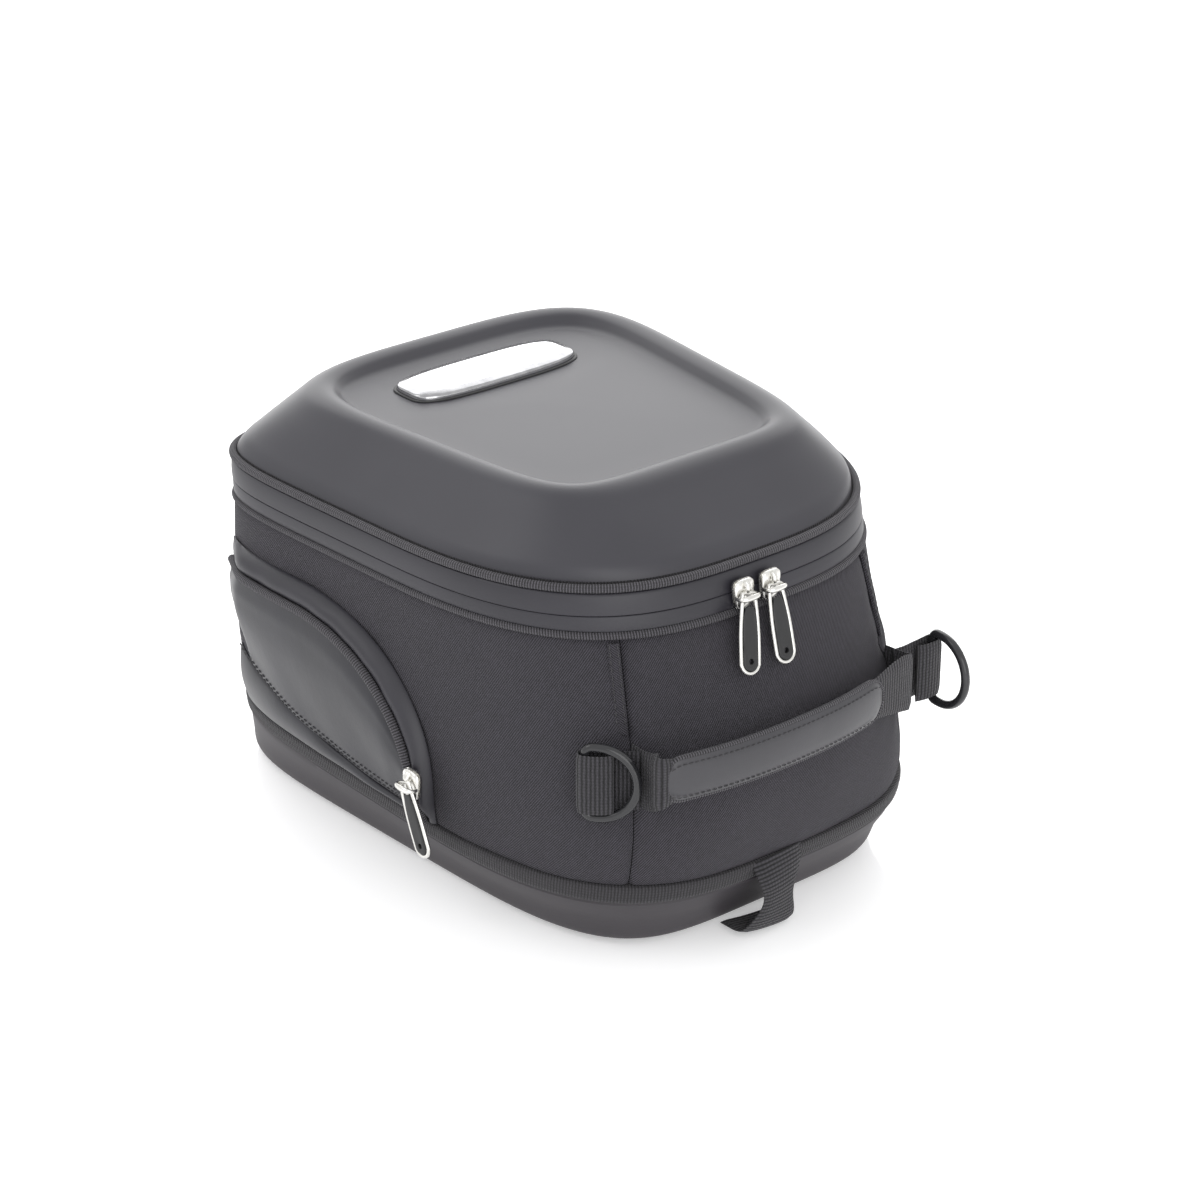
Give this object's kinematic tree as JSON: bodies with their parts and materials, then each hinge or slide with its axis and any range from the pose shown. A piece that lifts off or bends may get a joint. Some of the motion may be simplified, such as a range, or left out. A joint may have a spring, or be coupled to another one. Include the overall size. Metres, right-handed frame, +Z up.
{
  "type": "tank bag",
  "caption": "Motorcycle tank bag with a moulded base, fabric sides, zipped side pockets, front grab handle, D-rings and a domed zip-off lid that hinges at the rear.",
  "frame": {"origin": "centre of the base's flat underside, on the surface that the bag stands on", "axes": "+Z up out of the base, -Y towards the handle and the main zip's sliders, +Y towards the lid's hinge, +X to the bag's right"},
  "size_m": [0.2792, 0.336, 0.2093],
  "materials": {
    "moulded_base": "satin moulded shell, slightly brownish black",
    "stiffener": "sheet board, hidden",
    "webbing": "woven polyester tape, ribbed",
    "body_fabric": "dark charcoal twill",
    "coated_tape": "smooth coated zip tape, low sheen",
    "pocket_skin": "smooth coated synthetic leather",
    "grip_leather": "smooth coated synthetic leather",
    "lid_moulding": "soft-touch moulded dome",
    "bright_chrome": "polished",
    "nickel": "bright nickel plate",
    "pull_rubber": "black moulded rubber",
    "ring_plastic": "glossy black"
  },
  "bodies": {
    "bag": {"base_shell": "moulded_base", "base_board": "stiffener", "lower_binding": "webbing", "rim_binding": "webbing", "front_panel": "body_fabric", "rear_panel": "body_fabric", "side_panel_left": "body_fabric", "side_panel_right": "body_fabric", "zip_band_lower": "coated_tape", "hinge_strip_lower": "body_fabric", "front_strap": "webbing", "pocket_panel_left": "pocket_skin", "pocket_strip_left": "pocket_skin", "pocket_piping_left": "webbing", "pocket_zip_left": "coated_tape", "handle_anchor_left": "webbing", "d_ring_tab_left": "webbing", "pocket_panel_right": "pocket_skin", "pocket_strip_right": "pocket_skin", "pocket_piping_right": "webbing", "pocket_zip_right": "coated_tape", "handle_anchor_right": "webbing", "d_ring_tab_right": "webbing"},
    "lid": {"lid_shell": "lid_moulding", "lid_piping": "webbing", "zip_band_upper": "coated_tape", "hinge_strip_upper": "body_fabric", "badge_plate": "bright_chrome"},
    "handle": {"handle_webbing_left": "webbing", "handle_webbing_right": "webbing", "handle_grip": "grip_leather"},
    "d_ring_left": {"d_ring_left": "ring_plastic"},
    "zip_slider_left": {"zip_slider_left": "nickel"},
    "zip_pull_left": {"zip_pull_frame_left": "nickel", "zip_pull_insert_left": "pull_rubber"},
    "pocket_slider_left": {"pocket_slider_left": "nickel"},
    "pocket_pull_left": {"pocket_pull_frame_left": "nickel", "pocket_pull_insert_left": "pull_rubber"},
    "d_ring_right": {"d_ring_right": "ring_plastic"},
    "zip_slider_right": {"zip_slider_right": "nickel"},
    "zip_pull_right": {"zip_pull_frame_right": "nickel", "zip_pull_insert_right": "pull_rubber"},
    "pocket_slider_right": {"pocket_slider_right": "nickel"},
    "pocket_pull_right": {"pocket_pull_frame_right": "nickel", "pocket_pull_insert_right": "pull_rubber"}
  },
  "joints": [
    {"name": "lid_hinge", "type": "hinge", "parent": "bag", "child": "lid", "pos_m": [0, 0.1315, 0.16385], "axis": [-1, 0, 0], "range_deg": [0, 95]},
    {"name": "handle_swing", "type": "hinge", "parent": "bag", "child": "handle", "pos_m": [0, -0.152, 0.094], "axis": [-1, 0, 0], "range_deg": [0, 18]},
    {"name": "d_ring_left_swing", "type": "hinge", "parent": "bag", "child": "d_ring_left", "pos_m": [-0.09942, -0.13861, 0.094], "axis": [0, 0, -1], "range_deg": [0, 170]},
    {"name": "d_ring_right_swing", "type": "hinge", "parent": "bag", "child": "d_ring_right", "pos_m": [0.10155, -0.15367, 0.094], "axis": [0, 0, 1], "range_deg": [-60, 150]},
    {"name": "zip_left_travel", "type": "hinge", "parent": "bag", "child": "zip_slider_left", "pos_m": [0, 0.2761, 0.16385], "axis": [0, 0, -1], "range_deg": [0, 5.5]},
    {"name": "zip_left_pull", "type": "hinge", "parent": "zip_slider_left", "child": "zip_pull_left", "pos_m": [-0.014, -0.1521, 0.16385], "axis": [-1, 0, 0], "range_deg": [0, 110]},
    {"name": "pocket_left_travel", "type": "hinge", "parent": "bag", "child": "pocket_slider_left", "pos_m": [-0.1388, 0.0205, 0.051], "axis": [-1, 0, 0], "range_deg": [0, 55]},
    {"name": "pocket_left_pull", "type": "hinge", "parent": "pocket_slider_left", "child": "pocket_pull_left", "pos_m": [-0.1388, -0.0485, 0.066], "axis": [0, 1, 0], "range_deg": [0, 110]},
    {"name": "zip_right_travel", "type": "hinge", "parent": "bag", "child": "zip_slider_right", "pos_m": [0, 0.2761, 0.16385], "axis": [0, 0, 1], "range_deg": [0, 5.5]},
    {"name": "zip_right_pull", "type": "hinge", "parent": "zip_slider_right", "child": "zip_pull_right", "pos_m": [0.002, -0.1521, 0.16385], "axis": [-1, 0, 0], "range_deg": [0, 110]},
    {"name": "pocket_right_travel", "type": "hinge", "parent": "bag", "child": "pocket_slider_right", "pos_m": [0.1388, 0.0205, 0.051], "axis": [-1, 0, 0], "range_deg": [0, 55]},
    {"name": "pocket_right_pull", "type": "hinge", "parent": "pocket_slider_right", "child": "pocket_pull_right", "pos_m": [0.1388, -0.0485, 0.066], "axis": [0, -1, 0], "range_deg": [0, 110]}
  ]
}
